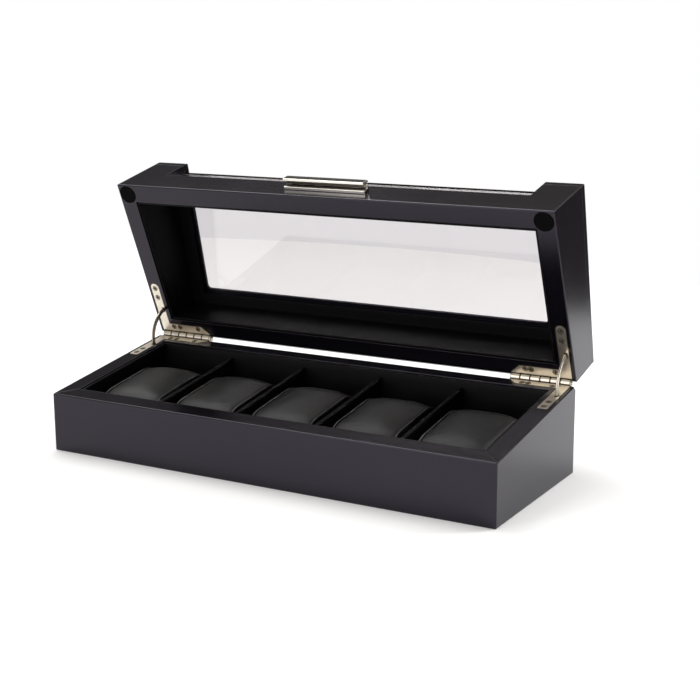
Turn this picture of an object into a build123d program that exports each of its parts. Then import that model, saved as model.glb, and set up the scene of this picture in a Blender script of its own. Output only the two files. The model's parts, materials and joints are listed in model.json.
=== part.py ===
from build123d import *
import os
from math import atan2, cos, degrees, sin, tan

# A display box with five cushioned places under a glazed lid, drawn with the lid open.
# Millimetres and degrees. +Z is up, +X is the box's right and the front faces -Y.
# The origin is the centre of the underside. Hands are -1 for left and +1 for right.
# Pieces of the lid are drawn on the closed lid and turned open when they are written.

os.makedirs("parts", exist_ok=True)

# ---------------------------------------------------------------- case
case_width = 308.0
case_depth = 115.0
case_height = 86.2  # lid closed
base_front_height = 37.4
base_rear_height = 55.0
wall = 12.0
seam_gap = 0.6  # between the two rims when the lid is closed
edge_round = 0.8
base_rear_bevel = 3.0
lid_rear_bevel = 1.5
lid_opening = 76.6

# ---------------------------------------------------------------- underside
bottom_thickness = 4.0
bottom_rebate = 4.0
felt_thickness = 1.0

# ---------------------------------------------------------------- lining, places, cushions
liner_thickness = 1.6
liner_drop = 0.8  # edge of the lining below the rim
floor_liner_thickness = 1.5
place_count = 5
divider_thickness = 3.0
divider_drop = 4.7
cushion_side_gap = 5.9
cushion_front_gap = 3.5
cushion_rear_gap = 9.3
cushion_drop = 4.1
cushion_float = 0.3
cushion_nose = 22.0  # radius of the rolled ends
cushion_heel = 6.0
cushion_seam_round = 1.5

# ---------------------------------------------------------------- lid
lid_top_thickness = 5.0
window_side_margin = 24.0
window_rear_margin = 23.0
window_ledge = 2.6  # how far the panes' inner ledge reaches into the window
window_corner = 2.5
front_rail_height = 24.4  # top of the glazed notch above the base's front rim
glass_thickness = 3.0
glass_seat = 5.0  # how far the glass runs into the frame on each side
glass_sink = 0.4
glass_play = 0.2
front_glass_setback = 6.5
rail_groove = 4.0
top_liner_thickness = 1.0
window_liner_setback = 1.2
pad_radius = 6.0
pad_thickness = 1.6
pad_clearance = 0.2  # from the base's rim when the lid is closed
pad_inset = 7.0

# ---------------------------------------------------------------- pull
pull_length = 57.0
pull_reach = 7.3
pull_height = 6.2
pull_flange = 2.3
pull_lip = 1.6
pull_round = 0.4
pull_screw_end = 8.5  # from each end of the bar
pull_screw_radius = 1.5
pull_screw_skin = 0.5  # metal left in front of the screw
pull_screw_head_radius = 2.75
pull_screw_head = 2.0

# ---------------------------------------------------------------- hinges
axis_setback = 0.4  # hinge axis behind the case's rear face
barrel_start = 3.0
knuckle_count = 6
knuckle_length = 6.5
knuckle_gap = 0.3
barrel_radius = 2.5
barrel_clearance = 0.3
pin_radius = 1.0
pin_clearance = 0.05
leaf_thickness = 1.6
leaf_margin = 2.2
leaf_arm_width = 7.0
leaf_arm_reach = 41.0  # from the hinge axis
leaf_rear_reach = 9.0
leaf_clip = 6.0
leaf_corner = 0.8
lid_leaf_tip = 3.4
base_leaf_tip = 1.5

# ---------------------------------------------------------------- stays
stay_radius = 20.0
stay_width = 2.4
stay_thickness = 1.0
stay_engagement = 9.4  # degrees past each rim
stay_head_span = 3.0
stay_head_width = 2.2
stay_slot_play = 0.3
stay_pocket_play = 0.4
stay_pocket_spare = 1.0  # degrees past the stay at each end of a pocket
left_slot_edge = 0.8  # leaf left inboard of the left hinge's slot
right_slot_edge = 1.4  # leaf left outboard of the right hinge's slot

# ---------------------------------------------------------------- hinge screws
screw_head_radius = 1.75
screw_head_depth = 1.1
screw_shank_radius = 0.9
screw_length = 8.0
screw_proud = 0.1
screw_play = 0.02
cross_length = 2.3
cross_width = 0.5
cross_depth = 0.5
arm_screws_from_tip = (4.1, 11.2)
rear_screws_from_edge = 2.4
left_screws_from_side = (10.1, 15.2)
left_screws_from_end = (9.4,)
right_screws_from_side = (10.4,)
right_screws_from_end = (13.6, 9.8)

# ---------------------------------------------------------------- derived places
half_width = case_width / 2
front_y = -case_depth / 2
rear_y = case_depth / 2
above = 2 * case_height  # clear of everything, for cuts
seam_slope = atan2(base_rear_height - base_front_height, case_depth)
seam_rise = seam_gap / cos(seam_slope)

inner_half_width = half_width - wall
inner_front_y = front_y + wall
inner_rear_y = rear_y - wall
lined_half_width = inner_half_width - liner_thickness
lined_front_y = inner_front_y + liner_thickness
lined_rear_y = inner_rear_y - liner_thickness
panel_top = felt_thickness + bottom_thickness
floor_z = panel_top + floor_liner_thickness
place_width = (2 * lined_half_width - (place_count - 1) * divider_thickness) / place_count
place_pitch = place_width + divider_thickness

lid_ceiling = case_height - lid_top_thickness
lid_front_low = base_front_height + seam_rise
lid_rear_low = base_rear_height + seam_rise
rail_top = base_front_height + front_rail_height
window_half_width = half_width - window_side_margin
window_rear_y = rear_y - window_rear_margin
glass_front_y = front_y + front_glass_setback
glass_top_z = case_height - glass_sink
glass_low_z = glass_top_z - glass_thickness
groove_low_z = rail_top - rail_groove
pad_proud = seam_gap - pad_clearance
pull_middle = (lid_front_low + rail_top) / 2
pull_screw_spacing = pull_length - 2 * pull_screw_end


def rim_z(y, drop=0.0):
    """Height at a depth of the base's sloping rim, or of a line that far below it."""
    return base_front_height + (y - front_y) * tan(seam_slope) - drop / cos(seam_slope)


axis_y = rear_y + axis_setback
axis_z = rim_z(axis_y, -seam_gap / 2)
hinge_axis = Axis((0, axis_y, axis_z), (-1, 0, 0))
seam_plane = Plane(
    origin=(0, axis_y, axis_z),
    x_dir=(1, 0, 0),
    z_dir=(0, -sin(seam_slope), cos(seam_slope)),
)
pad_reach = -(axis_y - front_y - pad_inset) / cos(seam_slope)  # along the seam plane

barrel_length = knuckle_count * knuckle_length
leaf_rear = -(barrel_radius + barrel_clearance)
base_leaf_level = -seam_gap / 2 - leaf_thickness  # lower faces, over the seam plane
lid_leaf_level = seam_gap / 2
base_head_level = -seam_gap / 2 + screw_proud
lid_head_level = seam_gap / 2 - screw_proud

slot_width = stay_thickness + 2 * stay_slot_play
slot_length = stay_width + 2 * stay_slot_play
stay_inset = {
    -1: leaf_margin + leaf_arm_width - left_slot_edge - slot_width / 2,
    1: leaf_margin + right_slot_edge + slot_width / 2,
}
rear_screws_from_side = {-1: left_screws_from_side, 1: right_screws_from_side}
rear_screws_from_end = {-1: left_screws_from_end, 1: right_screws_from_end}
stay_half_span = lid_opening / 2 + stay_engagement
stay_middle = 180 - lid_opening / 2  # half way between the rims with the lid open


# ================================================================ helpers
def save(part, name):
    """Write one sub-part under its own name."""
    part.label = name
    export_step(part, f"parts/{name}.step")


def save_on_lid(part, name):
    """Turn a sub-part drawn on the closed lid to the open lid, and write it."""
    save(part.rotate(hinge_axis, lid_opening), name)


def prism(outline, plane, distance, both=False):
    """A closed straight-sided outline on a plane, carried through a distance."""
    with BuildPart() as block:
        with BuildSketch(plane):
            with BuildLine():
                Polyline(*outline, close=True)
            make_face()
        extrude(amount=distance, both=both)
    return block.part


def plan_box(half_x, low_y, high_y, low_z, height):
    """A block that is centred across the box."""
    outline = [(-half_x, low_y), (half_x, low_y), (half_x, high_y), (-half_x, high_y)]
    return prism(outline, Plane.XY.offset(low_z), height)


def side_board(x, thickness, outline):
    """A board from x whose outline is drawn in the box's side view."""
    return prism(outline, Plane.YZ.offset(x), thickness)


def rods(plane, spots, radius, length):
    """Round rods from a plane at each spot."""
    with BuildPart() as group:
        with BuildSketch(plane):
            with Locations(*spots):
                Circle(radius)
        extrude(amount=length)
    return group.part


def hinge_section(x):
    """The plane across the hinge axis at x: its own x runs rearward along the seam."""
    return Plane(
        origin=(x, axis_y, axis_z),
        x_dir=(0, cos(seam_slope), sin(seam_slope)),
        z_dir=(1, 0, 0),
    )


# ================================================================ hinge hardware
def leaf_blank(hand, level, tip, rear_edge):
    """An L-shaped leaf plate with its lower face at a level over the seam plane."""
    outer = hand * (half_width - leaf_margin)
    inner = hand * (half_width - leaf_margin - leaf_arm_width)
    end = hand * (half_width - barrel_start - barrel_length)
    clipped = end + hand * leaf_clip
    with BuildPart() as blank:
        with BuildSketch(seam_plane.offset(level)) as outline:
            with BuildLine():
                Polyline(
                    (outer, rear_edge),
                    (outer, -leaf_arm_reach),
                    (inner, -leaf_arm_reach),
                    (inner, -leaf_rear_reach),
                    (clipped, -leaf_rear_reach),
                    (end, leaf_rear - leaf_corner),
                    (end, rear_edge),
                    close=True,
                )
            make_face()
            fillet(outline.vertices().group_by(Axis.Y)[0], radius=tip)
        extrude(amount=leaf_thickness)
    return blank.part


def stay_sweep(hand, thickness, width, start, span):
    """A flat bar curved about the hinge axis, from an angle through a span."""
    x = hand * (half_width - stay_inset[hand])
    with BuildPart() as bar:
        with BuildSketch(hinge_section(x - thickness / 2)):
            with BuildLine():
                outer = CenterArc((0, 0), stay_radius + width / 2, start, span)
                inner = CenterArc((0, 0), stay_radius - width / 2, start, span)
                Line(outer @ 0, inner @ 0)
                Line(outer @ 1, inner @ 1)
            make_face()
        extrude(amount=thickness)
    return bar.part


def barrel_run(hand, radius, spare=0.0):
    """A round bar along the whole barrel of a hinge, with spare length at both ends."""
    outer = hand * (half_width - barrel_start + spare)
    inner = hand * (half_width - barrel_start - barrel_length - spare)
    return rods(hinge_section(min(outer, inner)), [(0, 0)], radius, abs(outer - inner))


def leaf_screw_spots(hand):
    """Where the screws of one leaf stand, in the seam plane."""
    arm_x = hand * (half_width - leaf_margin - leaf_arm_width / 2)
    rear_v = rear_screws_from_edge - leaf_rear_reach
    spots = [(arm_x, step - leaf_arm_reach) for step in arm_screws_from_tip]
    for step in rear_screws_from_side[hand]:
        spots.append((hand * (half_width - leaf_margin - step), rear_v))
    for step in rear_screws_from_end[hand]:
        spots.append((hand * (half_width - barrel_start - barrel_length + step), rear_v))
    return spots


def screw_set(hand, level, into, play=0.0):
    """The screws of one leaf, heads at a level, driven down (-1) or up (+1)."""
    taper = degrees(atan2(screw_head_radius - screw_shank_radius, screw_head_depth))
    spots = leaf_screw_spots(hand)
    plane = seam_plane.offset(level)
    with BuildPart() as screws:
        with BuildSketch(plane):
            with Locations(*spots):
                Circle(screw_head_radius + play)
        extrude(amount=into * screw_head_depth, taper=taper)
        add(rods(plane, spots, screw_shank_radius + play, into * screw_length))
    return screws.part


def crossed_screws(hand, level, into):
    """The screws of one leaf with their cross recesses."""
    with BuildPart() as screws:
        add(screw_set(hand, level, into))
        with BuildSketch(seam_plane.offset(level)):
            with Locations(*leaf_screw_spots(hand)):
                Rectangle(cross_length, cross_width)
                Rectangle(cross_width, cross_length)
        extrude(amount=into * cross_depth, mode=Mode.SUBTRACT)
    return screws.part


def leaf(hand, level, head_level, tip, into, first_knuckle, bore):
    """One hinge leaf: plate, every second knuckle, screw holes and stay slot."""
    with BuildPart() as plate:
        add(leaf_blank(hand, level, tip, leaf_rear))
        for index in range(first_knuckle, knuckle_count, 2):
            near = hand * (half_width - barrel_start - index * knuckle_length)
            far = near - hand * knuckle_length
            with BuildSketch(hinge_section(min(near, far) + knuckle_gap / 2)):
                Circle(barrel_radius)
                with Locations((leaf_rear / 2, level + leaf_thickness / 2)):
                    Rectangle(-leaf_rear, leaf_thickness)
            extrude(amount=knuckle_length - knuckle_gap)
        add(barrel_run(hand, bore), mode=Mode.SUBTRACT)
        add(screw_set(hand, head_level, into, screw_play), mode=Mode.SUBTRACT)
        with BuildSketch(seam_plane.offset(level)):
            with Locations((hand * (half_width - stay_inset[hand]), -stay_radius)):
                Rectangle(slot_width, slot_length)
        extrude(amount=leaf_thickness, mode=Mode.SUBTRACT)
    return plate.part


def hinge_room(hand, into):
    """What the boards leave free for one hinge, below the seam (-1) or above it (+1)."""
    level = base_leaf_level if into < 0 else lid_leaf_level
    head_level = base_head_level if into < 0 else lid_head_level
    tip = base_leaf_tip if into < 0 else lid_leaf_tip
    span = stay_half_span + 2 * stay_pocket_spare
    start = 180 - stay_pocket_spare if into < 0 else 180 + stay_pocket_spare - span
    thickness = stay_head_width + 2 * stay_pocket_play
    width = stay_width + 2 * stay_pocket_play
    with BuildPart() as room:
        add(leaf_blank(hand, level, tip, 0))
        add(barrel_run(hand, barrel_radius + barrel_clearance, barrel_clearance))
        add(screw_set(hand, head_level, into, screw_play))
        add(stay_sweep(hand, thickness, width, start, span))
    return room.part


def stay(hand):
    """The curved stay of one hinge, with a head at each end that the leaf slots hold."""
    first = stay_middle - stay_half_span
    last = stay_middle + stay_half_span - stay_head_span
    with BuildPart() as bar:
        add(stay_sweep(hand, stay_thickness, stay_width, first, 2 * stay_half_span))
        for start in (first, last):
            add(stay_sweep(hand, stay_head_width, stay_width, start, stay_head_span))
    return bar.part


for hand, side in ((-1, "left"), (1, "right")):
    base_leaf = leaf(hand, base_leaf_level, base_head_level, base_leaf_tip, -1, 0, pin_radius)
    lid_bore = pin_radius + pin_clearance
    lid_leaf = leaf(hand, lid_leaf_level, lid_head_level, lid_leaf_tip, 1, 1, lid_bore)
    save(base_leaf, f"{side}_hinge_base_leaf")
    save_on_lid(lid_leaf, f"{side}_hinge_lid_leaf")
    save(barrel_run(hand, pin_radius), f"{side}_hinge_pin")
    save(stay(hand), f"{side}_stay")
    save(crossed_screws(hand, base_head_level, -1), f"{side}_base_leaf_screws")
    save_on_lid(crossed_screws(hand, lid_head_level, 1), f"{side}_lid_leaf_screws")

# ================================================================ base and lid boards
pull_screw_spots = [(side * pull_screw_spacing / 2, pull_middle) for side in (-1, 1)]
pull_screw_plane = Plane.XZ.offset(-inner_front_y)  # the rail's inner face

# Plans of the four walls, mitred at the corners.
wall_plans = {
    "front_wall": [
        (-half_width, front_y),
        (half_width, front_y),
        (inner_half_width, inner_front_y),
        (-inner_half_width, inner_front_y),
    ],
    "rear_wall": [
        (-half_width, rear_y),
        (-inner_half_width, inner_rear_y),
        (inner_half_width, inner_rear_y),
        (half_width, rear_y),
    ],
    "left_wall": [
        (-half_width, front_y),
        (-inner_half_width, inner_front_y),
        (-inner_half_width, inner_rear_y),
        (-half_width, rear_y),
    ],
    "right_wall": [
        (half_width, front_y),
        (half_width, rear_y),
        (inner_half_width, inner_rear_y),
        (inner_half_width, inner_front_y),
    ],
}


def mitred_wall(carcass, plan, top):
    """The share of a carcass that stands over one mitred wall plan, up to a height."""
    with BuildPart() as board:
        add(prism(plan, Plane.XY, top))
        add(carcass, mode=Mode.INTERSECT)
    return board.part


def bottom_layer(low_z, height):
    """A sheet that fills the rebate in the underside."""
    return plan_box(
        inner_half_width + bottom_rebate,
        inner_front_y - bottom_rebate,
        inner_rear_y + bottom_rebate,
        low_z,
        height,
    )


with BuildPart() as base_carcass:
    base_side = [
        (front_y, 0),
        (rear_y, 0),
        (rear_y, base_rear_height),
        (front_y, base_front_height),
    ]
    add(side_board(-half_width, case_width, base_side))
    chamfer(base_carcass.edges().filter_by(Axis.X).sort_by(Axis.Z)[-1], length=base_rear_bevel)
    fillet(base_carcass.edges(), radius=edge_round)
    add(plan_box(inner_half_width, inner_front_y, inner_rear_y, 0, above), mode=Mode.SUBTRACT)
    add(bottom_layer(0, panel_top), mode=Mode.SUBTRACT)
    for hand in (-1, 1):
        add(hinge_room(hand, -1), mode=Mode.SUBTRACT)

for wall_name, plan in wall_plans.items():
    save(mitred_wall(base_carcass.part, plan, case_height), f"base_{wall_name}")
save(bottom_layer(felt_thickness, bottom_thickness), "base_bottom_panel")
save(bottom_layer(0, felt_thickness), "underside_felt")

# The window is an L: it takes the middle of the lid's top and the upper part of its front.
# Behind the front pane it narrows to a ledge, which holds both panes from inside.
ledge_half_width = window_half_width - window_ledge
ledge_rear_y = window_rear_y - window_ledge
with BuildPart() as window_room:
    add(plan_box(ledge_half_width, front_y - wall, ledge_rear_y, rail_top, above))
    rear_corners = window_room.edges().filter_by(Axis.Z).group_by(Axis.Y)[-1]
    fillet(rear_corners, radius=window_corner)
    add(plan_box(window_half_width, front_y - wall, glass_front_y, rail_top, above))
seat_half_width = window_half_width + glass_seat
seat_rear_y = window_rear_y + glass_seat

with BuildPart() as lid_carcass:
    lid_side = [
        (front_y, lid_front_low),
        (rear_y, lid_rear_low),
        (rear_y, case_height),
        (front_y, case_height),
    ]
    add(side_board(-half_width, case_width, lid_side))
    rear_edges = lid_carcass.edges().filter_by(Axis.X).group_by(Axis.Y)[-1]
    chamfer(rear_edges.sort_by(Axis.Z)[0], length=lid_rear_bevel)
    fillet(lid_carcass.edges(), radius=edge_round)
    cavity = plan_box(inner_half_width, inner_front_y, inner_rear_y, 0, lid_ceiling)
    add(cavity, mode=Mode.SUBTRACT)
    add(window_room.part, mode=Mode.SUBTRACT)
    top_seat = plan_box(seat_half_width, glass_front_y, seat_rear_y, glass_low_z, above)
    add(top_seat, mode=Mode.SUBTRACT)
    groove_rear_y = glass_front_y + glass_thickness
    front_seat = plan_box(seat_half_width, glass_front_y, groove_rear_y, groove_low_z, above)
    add(front_seat, mode=Mode.SUBTRACT)
    for hand in (-1, 1):
        add(hinge_room(hand, 1), mode=Mode.SUBTRACT)
        pad_spot = (hand * (half_width - pad_inset), pad_reach)
        pad_room = rods(seam_plane, [pad_spot], pad_radius, seam_gap / 2 + pad_thickness - pad_proud)
        add(pad_room, mode=Mode.SUBTRACT)
    screw_room = rods(pull_screw_plane, pull_screw_spots, pull_screw_radius, wall)
    head_room = rods(pull_screw_plane, pull_screw_spots, pull_screw_head_radius, pull_screw_head)
    add([screw_room, head_room], mode=Mode.SUBTRACT)

for wall_name, plan in wall_plans.items():
    save_on_lid(mitred_wall(lid_carcass.part, plan, lid_ceiling), f"lid_{wall_name}")

with BuildPart() as lid_top_frame:
    add(plan_box(half_width, front_y, rear_y, lid_ceiling, lid_top_thickness))
    add(lid_carcass.part, mode=Mode.INTERSECT)
save_on_lid(lid_top_frame.part, "lid_top_frame")

# ================================================================ base lining and dividers
floor_liner = plan_box(
    inner_half_width, inner_front_y, inner_rear_y, panel_top, floor_liner_thickness
)
save(floor_liner, "base_floor_liner")


def base_board(x, thickness, low_y, high_y, drop):
    """An upright board on the floor, with its top a little below the sloping rim."""
    outline = [
        (low_y, floor_z),
        (high_y, floor_z),
        (high_y, rim_z(high_y, drop)),
        (low_y, rim_z(low_y, drop)),
    ]
    return side_board(x, thickness, outline)


def lid_board(x, thickness, low_y, high_y):
    """An upright lining board of the lid, from just inside its rim to the ceiling."""
    outline = [
        (low_y, rim_z(low_y, -seam_gap - liner_drop)),
        (high_y, rim_z(high_y, -seam_gap - liner_drop)),
        (high_y, lid_ceiling),
        (low_y, lid_ceiling),
    ]
    return side_board(x, thickness, outline)


# Side linings run between the front and rear linings.
side_liner_x = {"left": -inner_half_width, "right": lined_half_width}
end_liner_y = {"front": (inner_front_y, lined_front_y), "rear": (lined_rear_y, inner_rear_y)}
full_width = (-inner_half_width, 2 * inner_half_width)

for side, x in side_liner_x.items():
    liner = base_board(x, liner_thickness, lined_front_y, lined_rear_y, liner_drop)
    save(liner, f"base_{side}_liner")
for side, depths in end_liner_y.items():
    save(base_board(*full_width, *depths, liner_drop), f"base_{side}_liner")

for index in range(place_count - 1):
    middle = (index - (place_count - 2) / 2) * place_pitch
    start = middle - divider_thickness / 2
    divider = base_board(start, divider_thickness, lined_front_y, lined_rear_y, divider_drop)
    save(divider, f"divider_{index + 1}")

# ================================================================ lid lining
for side, x in side_liner_x.items():
    liner = lid_board(x, liner_thickness, lined_front_y, lined_rear_y)
    save_on_lid(liner, f"lid_{side}_liner")
save_on_lid(lid_board(*full_width, *end_liner_y["rear"]), "lid_rear_liner")

opening_half = window_half_width + window_liner_setback
opening_rear = window_rear_y + window_liner_setback

with BuildPart() as lid_front_liner:
    add(lid_board(*full_width, *end_liner_y["front"]))
    add(plan_box(opening_half, front_y, lined_front_y, rail_top, above), mode=Mode.SUBTRACT)
save_on_lid(lid_front_liner.part, "lid_front_liner")

with BuildPart() as lid_window_liner:
    liner_low = lid_ceiling - top_liner_thickness
    sheet = plan_box(lined_half_width, lined_front_y, lined_rear_y, liner_low, top_liner_thickness)
    add(sheet)
    add(plan_box(opening_half, front_y, opening_rear, 0, above), mode=Mode.SUBTRACT)
save_on_lid(lid_window_liner.part, "lid_window_liner")

# ================================================================ cushions
cushion_width = place_width - 2 * cushion_side_gap
cushion_low = floor_z + cushion_float
cushion_front_y = lined_front_y + cushion_front_gap
cushion_rear_y = lined_rear_y - cushion_rear_gap
cushion_front_top = rim_z(cushion_front_y, cushion_drop)
cushion_rear_top = rim_z(cushion_rear_y, cushion_drop)
nose = min(cushion_nose, 0.75 * (cushion_front_top - cushion_low))
cushion_side = [
    (cushion_front_y, cushion_low),
    (cushion_rear_y, cushion_low),
    (cushion_rear_y, cushion_rear_top),
    (cushion_front_y, cushion_front_top),
]
for index in range(place_count):
    middle = (index - (place_count - 1) / 2) * place_pitch
    with BuildPart() as cushion:
        add(side_board(middle - cushion_width / 2, cushion_width, cushion_side))
        fillet(cushion.edges().filter_by(Axis.X).sort_by(Axis.Z)[2:], radius=nose)
        fillet(cushion.edges().filter_by(Axis.X).sort_by(Axis.Z)[:2], radius=cushion_heel)
        fillet(cushion.faces().filter_by(Axis.X).edges(), radius=cushion_seam_round)
    save(cushion.part, f"cushion_{index + 1}")

# ================================================================ glass and bumper pads
glass_half_width = seat_half_width - glass_play
top_glass = plan_box(
    glass_half_width, glass_front_y, seat_rear_y - glass_play, glass_low_z, glass_thickness
)
save_on_lid(top_glass, "top_glass")
front_glass = plan_box(
    glass_half_width, glass_front_y, groove_rear_y, groove_low_z, glass_low_z - groove_low_z
)
save_on_lid(front_glass, "front_glass")

for hand, side in ((-1, "left"), (1, "right")):
    pad_spot = (hand * (half_width - pad_inset), pad_reach)
    pad_plane = seam_plane.offset(seam_gap / 2 - pad_proud)
    save_on_lid(rods(pad_plane, [pad_spot], pad_radius, pad_thickness), f"bumper_pad_{side}")

# ================================================================ pull
pull_low = pull_middle - pull_height / 2
pull_high = pull_middle + pull_height / 2
pull_web = pull_high - pull_lip
pull_nose_y = front_y - pull_reach
with BuildPart() as pull_bar:
    channel = [
        (front_y, pull_low),
        (front_y, pull_high),
        (pull_nose_y, pull_high),
        (pull_nose_y, pull_low),
        (pull_nose_y + pull_lip, pull_low),
        (pull_nose_y + pull_lip, pull_web),
        (front_y - pull_flange, pull_web),
        (front_y - pull_flange, pull_low),
    ]
    add(side_board(-pull_length / 2, pull_length, channel))
    nose_edges = pull_bar.edges().filter_by(Axis.X).group_by(Axis.Y)[0]
    fillet(nose_edges, radius=pull_round)
    bite = pull_flange - pull_screw_skin
    threads = rods(Plane.XZ.offset(-front_y), pull_screw_spots, pull_screw_radius, bite)
    add(threads, mode=Mode.SUBTRACT)
save_on_lid(pull_bar.part, "pull_bar")

with BuildPart() as pull_screws:
    add(rods(pull_screw_plane, pull_screw_spots, pull_screw_head_radius, pull_screw_head))
    add(rods(pull_screw_plane, pull_screw_spots, pull_screw_radius, wall + bite))
save_on_lid(pull_screws.part, "pull_screws")
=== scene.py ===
# %% [markdown]
# # A watch display box, dressed
#
# The box is a long low case of lacquered boards. Its lid carries two panes of glass that meet at a
# corner, its rims carry plated hinges, and its five places hold soft cushions. The hard pieces come
# ready made, at their real size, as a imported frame. This lesson gives every piece its finish and
# makes the soft ones anew.
#
# All lengths are metres. +Z is up, +X runs along the box to its right and its front faces -Y.

# %% Load the frame
import json
from collections import namedtuple
from math import pi, radians

import bmesh
import bpy
import numpy as np
from mathutils import Matrix, Vector


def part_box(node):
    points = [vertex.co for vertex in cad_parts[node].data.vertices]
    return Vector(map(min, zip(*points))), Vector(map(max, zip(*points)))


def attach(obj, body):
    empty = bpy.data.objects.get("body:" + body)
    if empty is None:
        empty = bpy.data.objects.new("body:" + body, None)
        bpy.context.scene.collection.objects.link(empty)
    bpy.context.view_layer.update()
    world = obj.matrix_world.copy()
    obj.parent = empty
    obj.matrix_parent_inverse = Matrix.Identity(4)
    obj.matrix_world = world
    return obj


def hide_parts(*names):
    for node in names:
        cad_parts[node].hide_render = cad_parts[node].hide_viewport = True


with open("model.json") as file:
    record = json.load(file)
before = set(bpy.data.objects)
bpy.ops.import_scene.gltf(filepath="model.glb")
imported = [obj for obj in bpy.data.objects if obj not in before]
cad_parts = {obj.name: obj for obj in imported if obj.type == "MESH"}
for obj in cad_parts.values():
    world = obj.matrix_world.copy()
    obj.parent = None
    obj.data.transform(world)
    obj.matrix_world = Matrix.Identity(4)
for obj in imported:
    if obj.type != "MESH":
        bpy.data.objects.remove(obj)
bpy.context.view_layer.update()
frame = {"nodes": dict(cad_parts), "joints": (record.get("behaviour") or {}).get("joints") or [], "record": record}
mm = 0.001
lid_joint = next(joint for joint in frame["joints"] if joint["name"] == "lid_hinge")
lid_axis = np.array(lid_joint["pos_m"])
lid_open = radians(lid_joint["range_deg"][1] - lid_joint["range_deg"][0])

# %% [markdown]
# ## The camera
#
# A product picture of a box is taken from a little above and to one side, with a long lens that
# keeps its edges nearly parallel. The lens is given here by how many pixels of a 700 pixel frame
# one unit of slope covers, and is turned into the focal length that Blender wants for its sensor.

# %% Set the camera
frame_pixels = 700
pixels_per_slope = 1404.0
sensor_mm = 36.0
nearest_seen, furthest_seen = 0.05, 50.0
camera_place = (0.44085, -0.71586, 0.25969)
turned_left, tilted_down, rolled = radians(29.77), radians(12.66), radians(-0.224)

lens = bpy.data.cameras.new("camera")
lens.sensor_width = sensor_mm
lens.lens = sensor_mm * pixels_per_slope / frame_pixels
lens.clip_start, lens.clip_end = nearest_seen, furthest_seen
camera = bpy.data.objects.new("camera", lens)
camera.matrix_world = (
    Matrix.Translation(camera_place)
    @ Matrix.Rotation(turned_left, 4, "Z")
    @ Matrix.Rotation(pi / 2 - tilted_down, 4, "X")
    @ Matrix.Rotation(rolled, 4, "Z")
)
bpy.context.collection.objects.link(camera)
bpy.context.scene.camera = camera
print("lens", round(lens.lens, 1), "mm")

# %% [markdown]
# ## Shader maths as arithmetic
#
# A finish is a small sum: a little noise added to a roughness, a grain taken from a colour. Written
# with node calls that sum is hard to read, so one class stands for an output socket and lets
# Python's own operators add the Math nodes.

# %% One socket that does arithmetic
# A Mix node has inputs and an output for each type of data. These are the numbers of its colours.
mix_first, mix_second, mix_result = 6, 7, 2


class Signal:
    """What flows out of one socket of a node tree."""

    def __init__(self, tree, socket=None):
        self.tree, self.socket = tree, socket

    def node(self, kind, settings=(), sockets=(), output=0):
        """Add a node and give the signal of one of its outputs.

        Its settings go in first, then a value or a signal for each of its input sockets.
        """
        made = self.tree.nodes.new(kind)
        for name, value in dict(settings).items():
            if name == "stops":
                ramp = made.color_ramp.elements
                ramp.remove(ramp[1])
                ramp[0].position, ramp[0].color = value[0]
                for place, colour in value[1:]:
                    ramp.new(place).color = colour
            else:
                setattr(made, name, value)
        for name, value in dict(sockets).items():
            if isinstance(value, Signal):
                self.tree.links.new(value.socket, made.inputs[name])
            else:
                made.inputs[name].default_value = value
        return Signal(self.tree, made.outputs[output] if made.outputs else None)

    def math(self, operation, first, second):
        """A Math node on two numbers or signals."""
        return self.node("ShaderNodeMath", {"operation": operation}, {0: first, 1: second})

    def __add__(self, other):
        return self.math("ADD", self, other)

    def __sub__(self, other):
        return self.math("SUBTRACT", self, other)

    def __rsub__(self, other):
        return self.math("SUBTRACT", other, self)

    def __mul__(self, other):
        return self.math("MULTIPLY", self, other)

    __radd__, __rmul__ = __add__, __mul__

    def dot(self, other):
        """The dot product of this vector and another."""
        vectors = {0: self, 1: other}
        return self.node("ShaderNodeVectorMath", {"operation": "DOT_PRODUCT"}, vectors, "Value")

    def parts(self):
        """The X, Y and Z of this vector, each as a signal."""
        split = self.node("ShaderNodeSeparateXYZ", {}, {"Vector": self}).socket.node
        return [Signal(self.tree, output) for output in split.outputs]

    def clipped(self, low, high):
        """Stretch the span from low to high over 0 to 1, and stop at both ends."""
        span = {"Value": self, "From Min": low, "From Max": high}
        return self.node("ShaderNodeMapRange", {}, span)

    def tint(self, dark, light):
        """Turn 0 to 1 into a colour between two."""
        colours = {"Factor": self, mix_first: (*dark, 1.0), mix_second: (*light, 1.0)}
        return self.node("ShaderNodeMix", {"data_type": "RGBA"}, colours, mix_result)

    def mixed(self, factor, other):
        """This colour, replaced by another where the factor is 1."""
        colours = {"Factor": factor, mix_first: self, mix_second: (*other, 1.0)}
        return self.node("ShaderNodeMix", {"data_type": "RGBA"}, colours, mix_result)

    def noise(self, per_metre, detail=2.0, rough=0.5, stretch=(1.0, 1.0, 1.0)):
        """Smooth noise with so many bumps per metre, stretched along the axes."""
        where = self.node("ShaderNodeMapping", {}, {"Vector": self, "Scale": stretch})
        sockets = {"Vector": where, "Scale": per_metre, "Detail": detail, "Roughness": rough}
        return self.node("ShaderNodeTexNoise", {}, sockets)


def new_finish(name):
    """A material with an empty tree, and the signal of its own place in metres."""
    finish = bpy.data.materials.new(name)
    finish.use_nodes = True
    finish.node_tree.nodes.clear()
    start = Signal(finish.node_tree)
    return finish, start.node("ShaderNodeTexCoord", output="Object")


def show(finish, place, **sockets):
    """Put a Principled shader with these sockets on a material's output."""
    named = {name.replace("_", " "): value for name, value in sockets.items()}
    shader = place.node("ShaderNodeBsdfPrincipled", {}, named)
    place.node("ShaderNodeOutputMaterial", {}, {"Surface": shader})
    return finish


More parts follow.
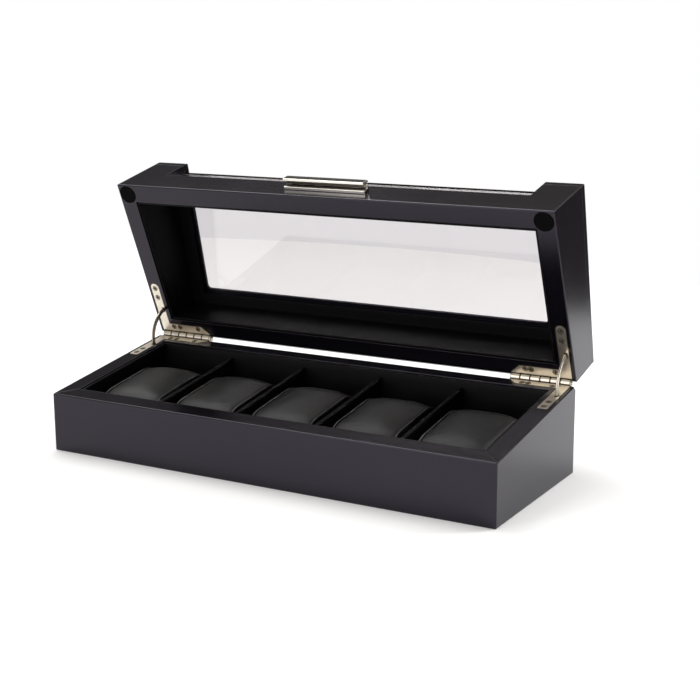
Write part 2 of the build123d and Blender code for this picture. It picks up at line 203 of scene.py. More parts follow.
# %% [markdown]
# ## Studio light
#
# Black lacquer has almost no colour of its own: what the eye sees is what it mirrors. So the studio
# is built from what each face should mirror. A pale glow stands low behind the box, a dim band
# above it gives the rims their depth, and a warmer overhead light starts where the lid's top edge
# looks. To the right rear the low light fades out, which shades the lid's side from pale at its
# foot to black at its top. The eye itself sees a plain white backdrop.

# %% Build the studio
bpy.context.scene.view_settings.view_transform = "Standard"

sky = bpy.data.worlds.new("studio")
sky.use_nodes = True
sky.node_tree.nodes.clear()
direction = Signal(sky.node_tree).node("ShaderNodeTexCoord", output="Generated")
towards_right, towards_rear, upward = direction.parts()

# Each band is a height, from 0 straight down to 1 straight up, and the light that comes from it.
bands = [
    (0.00, (0.30, 0.30, 0.31)),
    (0.36, (0.88, 0.87, 0.89)),
    (0.42, (1.04, 1.03, 1.05)),
    (0.56, (1.04, 1.03, 1.05)),
    (0.62, (0.30, 0.29, 0.31)),
    (0.67, (0.06, 0.06, 0.063)),
    (0.765, (0.05, 0.046, 0.044)),
    (0.80, (0.56, 0.51, 0.47)),
    (1.00, (0.60, 0.58, 0.56)),
]
stops = [(level, (*colour, 1.0)) for level, colour in bands]
height = upward * 0.5 + 0.5
around = height.node("ShaderNodeValToRGB", {"stops": stops}, {"Fac": height}, "Color")

on_the_right = towards_right.clipped(-0.15, 0.15)
at_the_rear = towards_rear.clipped(0.0, 0.3)
low_down = 1.0 - upward.clipped(0.1, 0.3)
dim_light, backdrop = (0.09, 0.08, 0.085), (1.0, 1.0, 1.0)
mirrored = around.mixed(on_the_right * at_the_rear * low_down, dim_light)
seen_directly = direction.node("ShaderNodeLightPath", output="Is Camera Ray")
glow = mirrored.mixed(seen_directly, backdrop)
lit = glow.node("ShaderNodeBackground", {}, {"Color": glow, "Strength": 1.0})
lit.node("ShaderNodeOutputWorld", {}, {"Surface": lit})
bpy.context.scene.world = sky


def softbox(name, place, target, size, power):
    """A square area light at a place, turned to face a target."""
    light = bpy.data.lights.new(name, "AREA")
    light.shape, light.size, light.energy = "SQUARE", size, power
    holder = bpy.data.objects.new(name, light)
    facing = (Vector(target) - Vector(place)).to_track_quat("-Z", "Y")
    holder.matrix_world = Matrix.Translation(place) @ facing.to_matrix().to_4x4()
    bpy.context.collection.objects.link(holder)


softbox("key_softbox", (-0.75, 0.40, 1.65), (-0.10, 0.0, 0.0), size=1.3, power=24.0)
softbox("front_softbox", (-0.25, -1.55, 0.60), (0.0, 0.0, 0.04), size=1.3, power=11.0)
softbox("rear_softbox", (0.70, 0.55, 0.70), (0.30, 0.20, 0.0), size=0.35, power=6.5)
print(len(bands), "bands of light and", len(bpy.data.lights), "softboxes")

# %% [markdown]
# ## Eased edges and nooks
#
# No real edge is perfectly sharp: lacquer and plating round it over, and the round catches a thin
# line of light. The hard pieces keep their own shape here, so the round is given to the light
# instead: a Bevel node bends the normals close to each edge. Where the bent and the true normal
# part, there is an edge, and that difference serves as a mask. On the lacquer it marks wear and a
# painted highlight, and on the metal a painted dark outline. Painted shade also goes in the
# opposite places, the nooks, and those are found with an Ambient Occlusion node.

# %% Eased normals and masks
bevel_samples, nook_samples = 12, 6


def eased(place, radius):
    """The normal, rounded over within a radius of each edge."""
    return place.node("ShaderNodeBevel", {"samples": bevel_samples}, {"Radius": radius})


def edge_mask(place, rounded, least=0.01, full=0.2):
    """0 on the flat and up to 1 on an edge: one minus how far two normals agree.

    The normals are the rounded one and the true one. Full is where the mask reaches 1.
    """
    true_normal = place.node("ShaderNodeNewGeometry", output="Normal")
    return (1.0 - rounded.dot(true_normal)).clipped(least, full)


def nook_shade_mask(place, reach):
    """0 in the open and up to 1 in a nook: one minus how open the place is within a reach."""
    settings, sockets = {"samples": nook_samples}, {"Distance": reach}
    return 1.0 - place.node("ShaderNodeAmbientOcclusion", settings, sockets, "AO")


def bumped(place, height, distance, normal=None):
    """A Bump node: heights from 0 to 1 lift the surface by up to a distance."""
    sockets = {"Height": height, "Distance": distance, "Strength": 1.0}
    if normal is not None:
        sockets["Normal"] = normal
    return place.node("ShaderNodeBump", {}, sockets)


# %% [markdown]
# ## Black lacquer
#
# Satin lacquer is sprayed, so its skin is level to a few hundredths of a millimetre and no flatter:
# a faint orange peel breaks up what it mirrors. Under it the colour is a neutral black. Along the
# edges the coat is thinner and worn, which shows as a slightly browner, duller line. That line is
# also painted lighter, as a painted highlight on the eased edge.

# %% Lacquer


def lacquer():
    """Black with a browner, lighter, duller line on each edge, as wear and a painted highlight, with an orange
    peel for bump.
    """
    edge_radius, peel_height = 0.5 * mm, 0.012 * mm
    black, worn_brown_and_highlight = (0.0006, 0.0005, 0.0016), (0.030, 0.021, 0.013)
    finish, place = new_finish("black_lacquer")
    rounded = eased(place, edge_radius)
    edge_wear_and_highlight = edge_mask(place, rounded)
    cloud = place.noise(45.0, detail=3.0)
    peel = place.noise(420.0)
    dust = place.noise(2600.0)
    return show(
        finish,
        place,
        # The browner, lighter edge line is partly wear and partly a painted highlight.
        Base_Color=(edge_wear_and_highlight * 0.6 + cloud * 0.02).tint(black, worn_brown_and_highlight),
        Roughness=0.16 + cloud * 0.04 + dust * 0.05 + edge_wear_and_highlight * 0.08,
        Normal=bumped(place, peel, peel_height, rounded),
        Specular_IOR_Level=0.45,
        Specular_Tint=(0.88, 0.81, 1.0, 1.0),
    )


# %% [markdown]
# ## Leatherette
#
# The linings and the cushions wear the same kind of cloth: a fabric coated with black plastic that
# is embossed with a hide's pebbled grain. Cells from a Voronoi texture give the pebbles, and the
# borders between cells are the creases. On the cushions the coat is softer and shinier, since foam
# keeps it stretched.

# %% Leatherette


def leatherette(name, dark, light, rough, rough_span, grain_depth, sheen, specular, roll=None):
    """Pebbles with creases between them painted darker as shade, and slow folds that change the colour and the
    gloss.

    A pebble is the distance to its cell's border, up to a short way in. Roll is the radius that
    the edges of a hard piece are eased by.
    """
    pebbles_per_metre, border_width = 950.0, 0.22
    finish, place = new_finish(name)
    cells = {"Vector": place, "Scale": pebbles_per_metre, "Randomness": 1.0}
    border = place.node("ShaderNodeTexVoronoi", {"feature": "DISTANCE_TO_EDGE"}, cells, "Distance")
    pebble = border.clipped(0.0, border_width)
    wander = place.noise(300.0)
    fold = place.noise(70.0, detail=3.0)
    grain = pebble * 0.7 + wander * 0.3
    return show(
        finish,
        place,
        # The creases between pebbles are darker in the colour: painted shade in the grain.
        Base_Color=(pebble * 0.5 + fold * 0.5).tint(dark, light),
        Roughness=rough + fold * rough_span + (1.0 - pebble) * 0.10,
        Normal=bumped(place, grain, grain_depth, eased(place, roll) if roll else None),
        Sheen_Weight=sheen,
        Sheen_Roughness=0.4,
        Specular_IOR_Level=specular,
    )


# %% [markdown]
# ## Plated and brushed metal
#
# The hinges are pressed from steel and nickel plated: warm, satin bright, and crossed by hair-fine
# scratches. Their edges and the gaps between their knuckles are painted dark as shade. These dark
# lines are what draws a hinge at this size, so both masks from above darken the plating.
#
# The pull is brushed along its length, so its streaks run with X: the noise is stretched until each
# bump is a line. Inside its channel the light dies away, and the depth there tells how much.

# %% Metals


def points_of(mesh, attribute="co"):
    """The places of a mesh's points, or their normals, as an array."""
    flat = np.empty(len(mesh.vertices) * 3)
    mesh.vertices.foreach_get(attribute, flat)
    return flat.reshape(-1, 3)


def plated(name, dark, light, rough, rounding=0.16 * mm, line_share=1.0):
    """Plating with a faint tarnish, fine scratches, and painted shade on its edge lines and in nooks."""
    line_radius, nook_reach, scratch_depth = 0.8 * mm, 2.0 * mm, 0.0015 * mm
    painted_shade_colour = (0.012, 0.009, 0.006)
    finish, place = new_finish(name)
    rounded = eased(place, rounding)
    line = edge_mask(place, eased(place, line_radius), full=0.02)
    nook_shade = nook_shade_mask(place, nook_reach)
    # Painted shade: the outlines and the nooks are darkened in the colour, and made rougher.
    painted_shade = (line * line_share + nook_shade * 1.2).clipped(0.12, 0.5)
    tarnish = place.noise(220.0, detail=3.0)
    scratches = place.noise(900.0, rough=0.6, stretch=(1.0, 0.08, 1.0))
    return show(
        finish,
        place,
        Base_Color=tarnish.tint(dark, light).mixed(painted_shade, painted_shade_colour),
        Metallic=1.0,
        Roughness=rough + tarnish * 0.06 + scratches * 0.04 + painted_shade * 0.25,
        Normal=bumped(place, scratches + tarnish, scratch_depth, rounded),
    )


def brushed(name, dark, light):
    """A bar brushed along X, whose channel is darkened by its depth and its nooks.

    With n the way the channel opens and h its lips' place along n, a point p lies h - p.n deep.
    """
    edge_radius, nook_reach, streak_depth = 0.9 * mm, 5.0 * mm, 0.006 * mm
    channel_starts, channel_full = 0.3 * mm, 1.6 * mm
    shadow_colour = (0.02, 0.015, 0.01)
    finish, place = new_finish(name)
    opens = np.array([0.0, -np.sin(lid_open), -np.cos(lid_open)])
    lips = float((points_of(frame["nodes"]["pull_bar"].data) @ opens).max())
    depth = (lips - place.dot(tuple(opens))).clipped(channel_starts, channel_full)
    nook_shade = nook_shade_mask(place, nook_reach).clipped(0.20, 0.40)
    streaks = place.noise(2600.0, detail=3.0, rough=0.6, stretch=(0.012, 1.0, 1.0))
    return show(
        finish,
        place,
        Base_Color=streaks.tint(dark, light).mixed(nook_shade * depth, shadow_colour),
        Metallic=1.0,
        Roughness=0.09 + streaks * 0.08,
        Normal=bumped(place, streaks, streak_depth, eased(place, edge_radius)),
    )


# %% [markdown]
# ## Glass, rubber, felt and board
#
# The panes are float glass: clear, with a faint warm grey in their depth and a few greasy smears.
# The bumper pads are moulded rubber, the felt is a mat of short fibres that run both ways, and the
# bottom board above it is raw fibreboard.

# %% The plainer finishes


def glass():
    """Clear glass, a little rougher and darker under each smear."""
    finish, place = new_finish("clear_glass")
    smear = place.noise(35.0, detail=4.0).clipped(0.55, 0.8)
    colour = smear.tint((0.70, 0.678, 0.684), (0.685, 0.663, 0.669))
    rough = smear * 0.02
    return show(finish, place, Base_Color=colour, Roughness=rough, Transmission_Weight=1.0, IOR=1.5)


def rubber():
    """Dull rubber with a fine dust on it."""
    edge_radius, dust_height = 0.4 * mm, 0.02 * mm
    finish, place = new_finish("pad_rubber")
    dust = place.noise(1500.0, detail=3.0)
    return show(
        finish,
        place,
        Base_Color=dust.tint((0.001, 0.001, 0.001), (0.0035, 0.0035, 0.0035)),
        Roughness=0.75 + dust * 0.2,
        Normal=bumped(place, dust, dust_height, eased(place, edge_radius)),
        Specular_IOR_Level=0.04,
    )


def felt():
    """Fibres that run along X and along Y: the mean of two noises, each stretched one way."""
    fibre_height = 0.25 * mm
    finish, place = new_finish("black_felt")
    lengthways = place.noise(1800.0, detail=4.0, rough=0.7, stretch=(0.3, 1.0, 1.0))
    crossways = place.noise(1800.0, detail=4.0, rough=0.7, stretch=(1.0, 0.3, 1.0))
    fibres = crossways * 0.5 + lengthways * 0.5
    return show(
        finish,
        place,
        Base_Color=fibres.tint((0.004, 0.004, 0.005), (0.03, 0.03, 0.034)),
        Roughness=0.88 + fibres * 0.1,
        Normal=bumped(place, fibres, fibre_height),
        Sheen_Weight=0.5,
    )


def fibreboard():
    """Raw brown board with coarse fibres."""
    fibre_height = 0.1 * mm
    finish, place = new_finish("raw_fibreboard")
    fibres = place.noise(900.0, detail=5.0, rough=0.7)
    return show(
        finish,
        place,
        Base_Color=fibres.tint((0.16, 0.095, 0.05), (0.34, 0.23, 0.14)),
        Roughness=0.8 + fibres * 0.1,
        Normal=bumped(place, fibres, fibre_height),
    )


# %% Give each node of the frame the finish of its slot
nickel_dark, nickel_light = (0.66, 0.59, 0.48), (0.90, 0.84, 0.73)
finishes = {
    "lacquer": lacquer(),
    "leatherette": leatherette(
        "lining_leatherette",
        dark=(0.0005, 0.0005, 0.0005),
        light=(0.0018, 0.0018, 0.0021),
        rough=0.38,
        rough_span=0.14,
        grain_depth=0.03 * mm,
        sheen=0.0,
        specular=0.11,
        roll=0.7 * mm,
    ),
    "cushion_leatherette": leatherette(
        "cushion_leatherette",
        dark=(0.0012, 0.0012, 0.0014),
        light=(0.0046, 0.0046, 0.0047),
        rough=0.38,
        rough_span=0.10,
        grain_depth=0.035 * mm,
        sheen=0.005,
        specular=0.31,
    ),
    "welt": leatherette(
        "welt_leatherette",
        dark=(0.003, 0.003, 0.0032),
        light=(0.009, 0.009, 0.0095),
        rough=0.30,
        rough_span=0.10,
        grain_depth=0.02 * mm,
        sheen=0.02,
        specular=0.6,
    ),
    "fibreboard": fibreboard(),
    "felt": felt(),
    "glass": glass(),
    "pad_rubber": rubber(),
    "pull_metal": brushed("brushed_nickel", (0.66, 0.62, 0.55), (0.90, 0.87, 0.80)),
    "pull_steel": plated("zinc_plate", (0.42, 0.43, 0.45), (0.60, 0.61, 0.62), rough=0.3),
    "polished_nickel": plated("polished_nickel", nickel_dark, nickel_light, rough=0.27),
    "screw_nickel": plated(
        "screw_nickel",
        (0.46, 0.41, 0.32),
        (0.66, 0.59, 0.48),
        rough=0.10,
        rounding=0.6 * mm,
        line_share=0.4,
    ),
}
slot_of = {row["node"]: row["material_slot"] for row in frame["record"]["subparts"]}
for name, node in frame["nodes"].items():
    node.data.materials.clear()
    node.data.materials.append(finishes[slot_of[name]])
print(len(finishes), "finishes")

# %% [markdown]
# ## Closed surfaces from rings of points
#
# The linings, the cushion covers and the welts are all made in the same way: rings of points, each
# ring with as many points as the next, joined by bands of four-sided faces. Where a surface has an
# end, a fan of triangles round a middle point closes it. The points are worked out as whole arrays,
# so a shape is a formula, and one function turns points and faces into a piece.

# %% Bands, fans and pieces


def band(first, second, count):
    """The quads between two rings of so many points, each ring given by its first point."""
    here = np.arange(count)
    after = (here + 1) % count
    quads = np.stack([first + here, first + after, second + after, second + here], -1)
    return quads.reshape(-1, 4).tolist()


def fan(first, hub, count):
    """The triangles that close a ring of so many points round a middle point, the hub."""
    here = np.arange(count)
    after = (here + 1) % count
    return np.stack([first + here, first + after, np.full(count, hub)], -1).tolist()


def new_piece(name, points, faces):
    """A smooth shaded mesh object with its normals turned outward."""
    mesh = bpy.data.meshes.new(name)
    mesh.from_pydata(points.tolist(), [], faces)
    work = bmesh.new()
    work.from_mesh(mesh)
    bmesh.ops.recalc_face_normals(work, faces=work.faces)
    work.to_mesh(mesh)
    work.free()
    mesh.polygons.foreach_set("use_smooth", np.ones(len(mesh.polygons), bool))
    piece = bpy.data.objects.new(name, mesh)
    bpy.context.collection.objects.link(piece)
    return piece


def loft(name, rings):
    """A closed piece through rings of points, an array of [station, point, axis]."""
    stations, count = rings.shape[:2]
    points = np.concatenate([rings.reshape(-1, 3), [rings[0].mean(0), rings[-1].mean(0)]])
    starts = np.arange(stations)[:, None] * count
    first_hub = stations * count
    faces = band(starts[:-1], starts[1:], count)
    faces += fan(0, first_hub, count)
    faces += fan((stations - 1) * count, first_hub + 1, count)
    return new_piece(name, points, faces)


def unit(vectors):
    """The vectors, each at length one."""
    return vectors / np.linalg.norm(vectors, axis=-1, keepdims=True)


# %% [markdown]
# ## Lining boards with rolled edges
#
# On the real box a lining is a thin board wrapped in leatherette and pushed into place, so its
# edges are soft rolls and the cloth lies a little slack on its faces. The roll is what draws the
# thin line of light along the top of each lining and divider. Each board is made anew from the
# corners of its hard piece: a rounded rectangle is carried from one end of the board to the other,
# drawn in at both ends. The lid's boards are turned shut for this, where they stand upright, and
# turned back.

# %% Find a board's corners
along_x, along_y = 0, 1
corner_decimals = 5  # corners that agree to a hundredth of a millimetre are one


def turned_about_hinge(points, angle):
    """The points turned about the lid's hinge, which lies along X."""
    c, s = np.cos(angle), np.sin(angle)
    y, z = points[:, 1] - lid_axis[1], points[:, 2] - lid_axis[2]
    turned_y, turned_z = lid_axis[1] + c * y - s * z, lid_axis[2] + s * y + c * z
    return np.column_stack([points[:, 0], turned_y, turned_z])


def eight_corners(points, along):
    """The corners of a board as [end, low or high, near or far].

    They are sorted along the board, then across it, then by height, which holds for any board
    whose top slopes along only one of its sides.
    """
    corners = np.unique(np.round(points, corner_decimals), axis=0)
    order = np.lexsort((corners[:, 2], corners[:, 1 - along], corners[:, along]))
    return corners[order].reshape(2, 2, 2, 3).transpose(0, 2, 1, 3)


# %% Shape one soft board
roll_points, flat_stations = 5, 40
cloth_slack = 0.10 * mm


def rounded_rectangle(radius, half_a, half_b, arc=4, flat_a=2, flat_b=10):
    """A loop of a rounded rectangle, as where it lies in -1 to 1 on both axes, and its normals.

    With p = (a, b) on the rectangle that is left inside the rounding and n the outward normal,
    each point is p (h - r) / h + r n / h for half sizes h and radius r. The loop has arc steps
    round each corner, and flat_a and flat_b steps along the sides that run with a and with b.
    """
    spots, normals = [], []
    corners = [(1, -1, -pi / 2), (1, 1, 0.0), (-1, 1, pi / 2), (-1, -1, pi)]
    for number, (a, b, start) in enumerate(corners):
        turn = start + np.linspace(0, pi / 2, arc + 1)
        n = np.column_stack([np.cos(turn), np.sin(turn)])
        spots.append(np.tile([a, b], (arc + 1, 1)))
        normals.append(n)
        after = corners[(number + 1) % 4]
        count = flat_b if after[0] == a else flat_a
        share = np.arange(1, count)[:, None] / count
        spots.append(np.array([a, b]) * (1 - share) + np.array(after[:2]) * share)
        normals.append(np.tile(n[-1], (count - 1, 1)))
    spots, normals = np.concatenate(spots).astype(float), np.concatenate(normals)
    half = np.array([half_a, half_b])
    return (spots * (half - radius) + normals * radius) / half, normals


def soft_board(node, along, radius, slack, on_lid):
    """A board wrapped in cloth, made from the corners of a hard board.

    At a share u of the length the section is the rounded rectangle (a, b), drawn in near the ends
    so that they are rolled too, and set between the eight corners by straight mixing. Its long
    faces give by slack (sin 3 pi u + sin(7 pi u + 5 b)) (1 - b^2) / 2 sqrt(sin pi u), for b the
    height on the section from -1 to 1.
    """
    corners = points_of(frame["nodes"][node].data)
    if on_lid:
        corners = turned_about_hinge(corners, lid_open)
    ends = eight_corners(corners, along)
    half_a = np.linalg.norm(ends[0, 0, 1] - ends[0, 0, 0]) / 2
    half_b = np.linalg.norm(ends[:, 1] - ends[:, 0], axis=-1).mean() / 2
    length = np.linalg.norm(ends[1].mean((0, 1)) - ends[0].mean((0, 1)))
    loop, normals = rounded_rectangle(radius, half_a, half_b)

    roll = np.linspace(0, pi / 2, roll_points)
    from_end = radius * (1 - np.sin(roll)) / length
    drawn_in = radius * (1 - np.cos(roll))
    flat = np.linspace(from_end[0], 1 - from_end[0], flat_stations + 2)[1:-1]
    u = np.concatenate([from_end[::-1], flat, 1 - from_end])[:, None]
    drawn = np.concatenate([drawn_in[::-1], np.zeros(flat_stations), drawn_in])[:, None]
    a = loop[:, 0] * (1 - drawn / half_a)
    b = loop[:, 1] * (1 - drawn / half_b)

    waves = np.sin(3 * pi * u) + np.sin(7 * pi * u + 5 * b)
    give = slack * waves * (1 - b**2) / 2 * np.sin(pi * u) ** 0.5
    on_long_face = np.isclose(np.abs(normals[:, 0]), 1)
    a = a - np.abs(give) / half_a * np.where(on_long_face, np.sign(normals[:, 0]), 0)

    mix_u = np.stack([1 - u, u])[..., None]
    mix_b = np.stack([(1 - b) / 2, (1 + b) / 2])[..., None]
    mix_a = np.stack([(1 - a) / 2, (1 + a) / 2])[..., None]
    rings = sum(
        mix_u[i] * mix_b[j] * mix_a[k] * ends[i, j, k] for i, j, k in np.ndindex(2, 2, 2)
    )
    if on_lid:
        rings = turned_about_hinge(rings.reshape(-1, 3), -lid_open).reshape(rings.shape)
    return loft(f"soft_{node}", rings)


# %% Roll the lining boards
liner_roll, divider_roll = 0.65 * mm, 1.2 * mm


def finish_board(node, along, radius, on_lid=False):
    """Make a soft board, give it the lining's finish and let it stand for its hard piece."""
    board = soft_board(node, along, radius, cloth_slack, on_lid)
    board.data.materials.append(finishes["leatherette"])
    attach(board, "lid" if on_lid else "base")
    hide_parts(node)


for side in ("left", "right"):
    finish_board(f"base_{side}_liner", along_y, liner_roll)
    finish_board(f"lid_{side}_liner", along_y, liner_roll, on_lid=True)
for side in ("front", "rear"):
    finish_board(f"base_{side}_liner", along_x, liner_roll)
finish_board("lid_rear_liner", along_x, liner_roll, on_lid=True)
for number in range(1, 5):
    finish_board(f"divider_{number}", along_y, divider_roll)

# %% [markdown]
# ## Cushions
#
# Each place holds a foam block in a sewn cover: one long strip goes right round the block, over the
# top and down both rolled ends, and two side panels close it. A thin welt is sewn into both seams.
# The foam pushes the strip up between the seams, so its top is a shallow dome, and the thread pulls
# each seam into a small groove.
#
# The cover starts as that strip and those panels, a little smaller than the finished cushion. Cloth
# simulation with pressure inside then swells it, with the seams held. The work is done at ten times
# the real size, where the solver is steady, and no point may move further than the foam would let
# it.

# %% A cushion's outline, from the side
rim_at_front, rim_at_rear = 37.4 * mm, 55.0 * mm
case_depth = 115.0 * mm
cushion_below_rim = 4.1 * mm
nose_radius, heel_radius = 21.8 * mm, 6.0 * mm


def cushion_top(y):
    """The height of a cushion's top at y: it follows the sloping rim, a little below it."""
    slope = (rim_at_rear - rim_at_front) / case_depth
    return rim_at_front + (y + case_depth / 2) * slope - cushion_below_rim


def rounded_loop(corners, radii, count, arc_points=33):
    """A closed polygon with rounded corners, as evenly spaced points and their outward normals.

    A corner of half angle h and radius r is left r / tan h before it and met again r / tan h after
    it. The arc between turns about the centre that lies r / sin h along the corner's bisector.
    """
    corners = np.asarray(corners, float)
    arcs = []
    for before, corner, after, radius in zip(
        np.roll(corners, 1, 0), corners, np.roll(corners, -1, 0), radii
    ):
        back, ahead = unit(before - corner), unit(after - corner)
        half = np.arccos(back @ ahead) / 2
        centre = corner + unit(back + ahead) * radius / np.sin(half)
        reach = radius / np.tan(half)
        first, last = corner + back * reach - centre, corner + ahead * reach - centre
        start = np.arctan2(first[1], first[0])
        sweep = (np.arctan2(last[1], last[0]) - start + pi) % (2 * pi) - pi
        turn = start + sweep * np.linspace(0, 1, arc_points)
        arcs.append(centre + radius * np.column_stack([np.cos(turn), np.sin(turn)]))
    path = np.concatenate([*arcs, arcs[0][:1]])
    along = np.concatenate([[0], np.cumsum(np.linalg.norm(np.diff(path, axis=0), axis=1))])
    steps = np.linspace(0, along[-1], count, endpoint=False)
    points = np.column_stack([np.interp(steps, along, path[:, axis]) for axis in range(2)])
    run = unit(np.roll(points, -1, 0) - np.roll(points, 1, 0))
    return points, np.column_stack([run[:, 1], -run[:, 0]])


# %% Sew the covers
seam_tuck, crown_tuck = 3.0 * mm, 0.4 * mm  # how far a cover starts inside its cushion
strip_inset, panel_bow = 0.5 * mm, 0.3 * mm
seam_crowding = 0.92  # how strongly the strip's columns crowd towards the seams, up to 1

# A cover has a number, a piece, the numbers of its points on each seam, and its cushion's middle.
Cover = namedtuple("Cover", "number piece seams middle")


def cushion_cover(name, low, high, loop_count=112, strip_count=25, panel_rings=7):
    """The sewn cover before it is filled, and which of its points lie on the two seams.

    The strip is a grid: the loop P(t) with outward normal N(t), carried across the width x from -1
    to 1 as P - N (c + (s - c) |x|^3) for the tucks c at the crown and s at the seams. Each panel is
    the seam's loop drawn to its own middle in rings of size r, bowed out by (1 - r^2) of a small
    height.
    """
    corners = [
        (low[1], low[2]),
        (high[1], low[2]),
        (high[1], cushion_top(high[1])),
        (low[1], cushion_top(low[1])),
    ]
    radii = [heel_radius, heel_radius, nose_radius, nose_radius]
    loop, normals = rounded_loop(corners, radii, loop_count)
    half = (high[0] - low[0]) / 2 - strip_inset
    middle = (high[0] + low[0]) / 2
    widest = pi / 2 * seam_crowding
    across = np.sin(np.linspace(-1, 1, strip_count) * widest) / np.sin(widest)
    tuck = crown_tuck + (seam_tuck - crown_tuck) * np.abs(across) ** 3
    yz = loop[None] - normals[None] * tuck[:, None, None]
    x = np.broadcast_to(middle + half * across[:, None, None], (strip_count, loop_count, 1))
    strip = np.concatenate([x, yz], -1)
    panels = []
    for side, seam in ((-1, strip[0]), (1, strip[-1])):
        hub = seam.mean(0)
        for r in np.arange(panel_rings - 1, 0, -1) / panel_rings:
            panels.append(hub + (seam - hub) * r + [side * panel_bow * (1 - r**2), 0, 0])
        panels.append((hub + [side * panel_bow, 0, 0])[None])

    rows = np.arange(strip_count - 1)[:, None] * loop_count
    faces = band(rows, rows + loop_count, loop_count)
    seam_starts = (0, (strip_count - 1) * loop_count)
    start = strip_count * loop_count
    for seam_start in seam_starts:
        ring = seam_start
        for _ in range(panel_rings - 1):
            faces += band(ring, start, loop_count)
            ring, start = start, start + loop_count
        faces += fan(ring, start, loop_count)
        start += 1
    points = np.concatenate([strip.reshape(-1, 3), *panels])
    seams = [first + np.arange(loop_count) for first in seam_starts]
    return new_piece(name, points, faces), seams


covers = []
for number in range(1, 6):
    low, high = (np.array(corner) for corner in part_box(f"cushion_{number}"))
    cover, seams = cushion_cover(f"cushion_cover_{number}", low, high)
    covers.append(Cover(number, cover, seams, (low + high) / 2))
print(len(covers), "covers of", len(covers[0].piece.data.vertices), "points each")

# %% Fill the covers
cloth_scale = 10.0
cushion_frames = 20
least_pressure, pressure_step = 3.6, 0.2  # no two neighbours are filled alike
swell_cap = 1.5 * mm
hardly_moved = 1e-9


def put_back(mesh, points):
    """Move a mesh's points to these places."""
    mesh.vertices.foreach_set("co", points.ravel())
    mesh.update()


def add_cloth(piece, pinned, pressure):
    """Cloth that holds the pinned points and has pressure inside, with no gravity."""
    group = piece.vertex_groups.new(name="seams")
    group.add(pinned.tolist(), 1.0, "REPLACE")
    cloth = piece.modifiers.new("cover", "CLOTH")
    cloth.settings.vertex_group_mass = "seams"
    cloth.settings.use_pressure = True
    cloth.settings.uniform_pressure_force = pressure
    cloth.settings.quality = 6
    cloth.settings.tension_stiffness = cloth.settings.compression_stiffness = 15.0
    cloth.settings.bending_stiffness = 0.8
    cloth.settings.effector_weights.gravity = 0.0
    cloth.point_cache.frame_end = cushion_frames


def fill(covers):
    """Swell all the covers together, and let no point move further than the cap.

    A point that the cloth moves by m goes to its place at rest + m min(1, cap / |m|).
    """
    at_rest = [points_of(cover.piece.data) for cover in covers]
    for cover, rest in zip(covers, at_rest):
        put_back(cover.piece.data, (rest - cover.middle) * cloth_scale)
        pressure = least_pressure + pressure_step * (cover.number % 3)
        add_cloth(cover.piece, np.concatenate(cover.seams), pressure)
    for frame_number in range(1, cushion_frames + 1):
        bpy.context.scene.frame_set(frame_number)
    graph = bpy.context.evaluated_depsgraph_get()
    filled = [points_of(cover.piece.evaluated_get(graph).data) for cover in covers]
    bpy.context.scene.frame_set(1)
    for cover, rest, points in zip(covers, at_rest, filled):
        cover.piece.modifiers.clear()
        cover.piece.vertex_groups.clear()
        moved = points / cloth_scale + cover.middle - rest
        far = np.linalg.norm(moved, axis=1, keepdims=True)
        print(f"cushion {cover.number}: the cover swells by {far.max() / mm:.2f} mm before the cap")
        kept = np.minimum(1, swell_cap / np.maximum(far, hardly_moved))
        put_back(cover.piece.data, rest + moved * kept)


fill(covers)

# %% [markdown]
# ## Welts, seams and creases
#
# A filled cover is never quite even. Beside each seam the thread gathers the cloth, so short
# creases run away from it and die out, and over the top the foam leaves a few long shallow hollows.
# The welt is a strip of the same cloth folded over a cord, and it stands a little proud of both
# seams.

# %% Creases and grooves
groove_depth, groove_width = 0.40 * mm, 1.3 * mm
crease_height, crease_reach, crease_counts = 0.16 * mm, 3.0 * mm, (17, 29, 43)
hollow_height, hollow_reach, hollow_waves = 0.22 * mm, 8.0 * mm, 4
steepest_hollow = 260.0  # radians per metre
on_the_seam = 1e-6


def creased(points, normals, seam_points, seed):
    """The cover with its grooves, creases and hollows, all as moves along the normals.

    With d the distance to the nearest seam point and t that point's place along the seam, the move
    is -g exp(-(d / w)^2) for the groove, + c exp(-d / reach) times the mean of three sines of t for
    the creases, and + h times the mean of four slow sines of x, y and z for the hollows. Creases
    and hollows fade in from nothing at the seam.
    """
    random = np.random.default_rng(seed)
    gap = np.linalg.norm(points[:, None] - seam_points[None], axis=-1)
    d = gap.min(1)
    t = gap.argmin(1) / (len(seam_points) / 2) * 2 * pi
    waves = sum(np.sin(k * t + random.uniform(0, 2 * pi)) for k in crease_counts)
    x, y, z = (points - points.mean(0)).T
    slopes = random.uniform(-steepest_hollow, steepest_hollow, (hollow_waves, 3))
    slow = sum(np.sin(a * x + b * y + c * z + random.uniform(0, 2 * pi)) for a, b, c in slopes)
    groove = -groove_depth * np.exp(-((d / groove_width) ** 2)) * (d > on_the_seam)
    crease = crease_height * np.exp(-d / crease_reach) * waves / len(crease_counts)
    hollow = hollow_height * slow / hollow_waves
    move = groove + crease * np.clip(d / groove_width, 0, 1)
    move += hollow * np.clip(d / hollow_reach, 0, 1)
    return points + normals * move[:, None]


# %% The welt along one seam
welt_radius = 0.55 * mm
welt_lift, welt_shift = 0.1 * mm, 0.25 * mm  # off the seam, and out to the cushion's side


def tube_round(path, outward, radius, sides=8):
    """The points and faces of a closed tube along a closed path.

    Each ring lies in the plane of the path's outward direction and of its own side direction, as
    path + r (cos a outward + sin a side).
    """
    run = unit(np.roll(path, -1, 0) - np.roll(path, 1, 0))
    outward = unit(outward - run * (outward * run).sum(1, keepdims=True))
    side = np.cross(run, outward)
    turn = np.linspace(0, 2 * pi, sides, endpoint=False)[:, None]
    spokes = np.cos(turn) * outward[:, None] + np.sin(turn) * side[:, None]
    rings = path[:, None] + radius * spokes
    starts = np.arange(len(path))[:, None] * sides
    return rings.reshape(-1, 3), band(starts, np.roll(starts, -1, 0), sides)


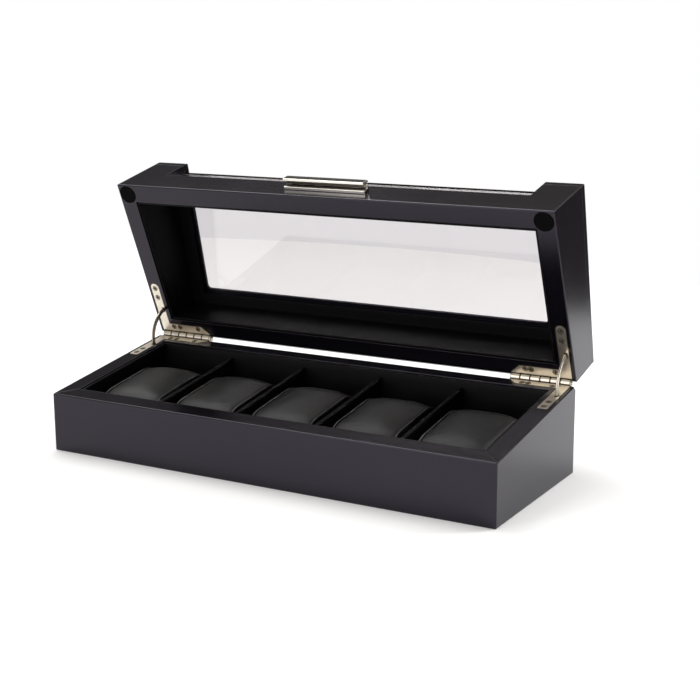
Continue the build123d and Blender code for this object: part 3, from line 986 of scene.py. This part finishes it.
def add_welt(number, side, seam):
    """A welt on a cushion's seam: side is -1 for the left one and 1 for the right one."""
    outward = seam - seam.mean(0)
    outward[:, 0] = 0
    outward = unit(outward)
    path = seam + outward * welt_lift + [side * welt_shift, 0, 0]
    name = f"cushion_welt_{number}_{'left' if side < 0 else 'right'}"
    welt = new_piece(name, *tube_round(path, outward, welt_radius))
    welt.data.materials.append(finishes["welt"])
    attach(welt, f"cushion_{number}")


# %% Finish the cushions
cushion_rest = 0.05 * mm  # the underside is flattened this far above the lined floor
lined_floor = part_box("base_floor_liner")[1][2]
first_seed = 40


def refine(piece):
    """Subdivide a piece once and keep the result as its mesh."""
    subdivide = piece.modifiers.new("finer", "SUBSURF")
    subdivide.levels = subdivide.render_levels = 1
    graph = bpy.context.evaluated_depsgraph_get()
    fine = bpy.data.meshes.new_from_object(piece.evaluated_get(graph))
    piece.modifiers.clear()
    piece.data = fine
    return fine


for number, cover, seams, _ in covers:
    sewn = points_of(cover.data)
    seam_loops = [sewn[seam] for seam in seams]
    fine = refine(cover)
    normals = points_of(fine, "normal")
    shaped = creased(points_of(fine), normals, np.concatenate(seam_loops), first_seed + number)
    shaped[:, 2] = np.maximum(shaped[:, 2], lined_floor + cushion_rest)
    put_back(fine, shaped)
    fine.polygons.foreach_set("use_smooth", np.ones(len(fine.polygons), bool))
    fine.materials.append(finishes["cushion_leatherette"])
    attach(cover, f"cushion_{number}")
    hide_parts(f"cushion_{number}")
    for side, seam_loop in zip((-1, 1), seam_loops):
        add_welt(number, side, seam_loop)
print(sum(len(cover.piece.data.polygons) for cover in covers), "faces on the finished covers")

# %% [markdown]
# ## The floor
#
# A round sheet of matt white paper on a table that glows faintly from below, as product tables do.
# It is lit until it is as white as the backdrop, so its rim doesn't show.

# %% Lay the floor
floor_middle, floor_radius, floor_sides = (-0.38, -0.18), 1.0, 96
tooth_height, table_glow = 0.02 * mm, 0.14

turn = np.linspace(0, 2 * pi, floor_sides, endpoint=False)
edge = np.column_stack([np.cos(turn), np.sin(turn), np.zeros(floor_sides)]) * floor_radius
edge[:, :2] += floor_middle
floor = new_piece("floor", edge, [list(range(floor_sides))])
paper, place = new_finish("pale_paper")
show(
    paper,
    place,
    Base_Color=(0.86, 0.87, 0.875, 1.0),
    Roughness=0.9,
    Normal=bumped(place, place.noise(300.0), tooth_height),
    Emission_Color=(1.0, 1.0, 1.0, 1.0),
    Emission_Strength=table_glow,
)
floor.data.materials.append(paper)
print("a floor", 2 * floor_radius, "m across")
